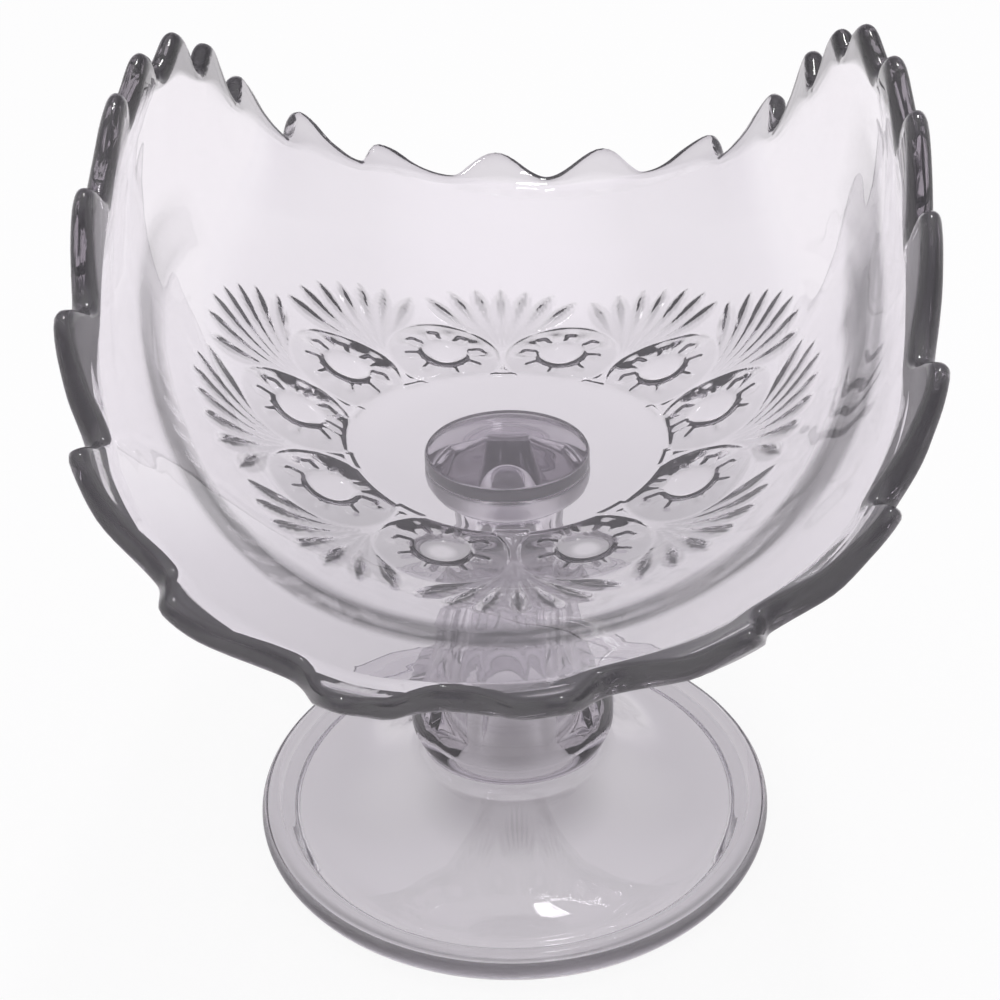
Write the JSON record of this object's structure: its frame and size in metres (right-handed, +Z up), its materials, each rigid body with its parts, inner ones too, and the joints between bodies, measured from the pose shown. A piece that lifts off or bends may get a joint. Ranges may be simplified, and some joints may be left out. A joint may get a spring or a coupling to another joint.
{
  "type": "banana stand",
  "caption": "Footed pressed glass banana stand: a boat-shaped dish with scalloped edges and two raised sides on a hollow swelling stem and a round domed foot.",
  "frame": {"origin": "middle of the object's bounding box at the level the foot rests on, on the axis of the stem to within about a millimetre", "axes": "+Z up along the stem; the raised sides of the dish stand at -X and +X and its low open ends face -Y and +Y"},
  "size_m": [0.1492, 0.2283, 0.1799],
  "materials": {
    "dish_glass": "fire-polished pressed glass",
    "joint_glass": "hot-joined glass",
    "foot_glass": "pressed glass"
  },
  "bodies": {
    "root": {"dish": "dish_glass", "wafer": "joint_glass", "pedestal": "foot_glass"}
  },
  "joints": []
}
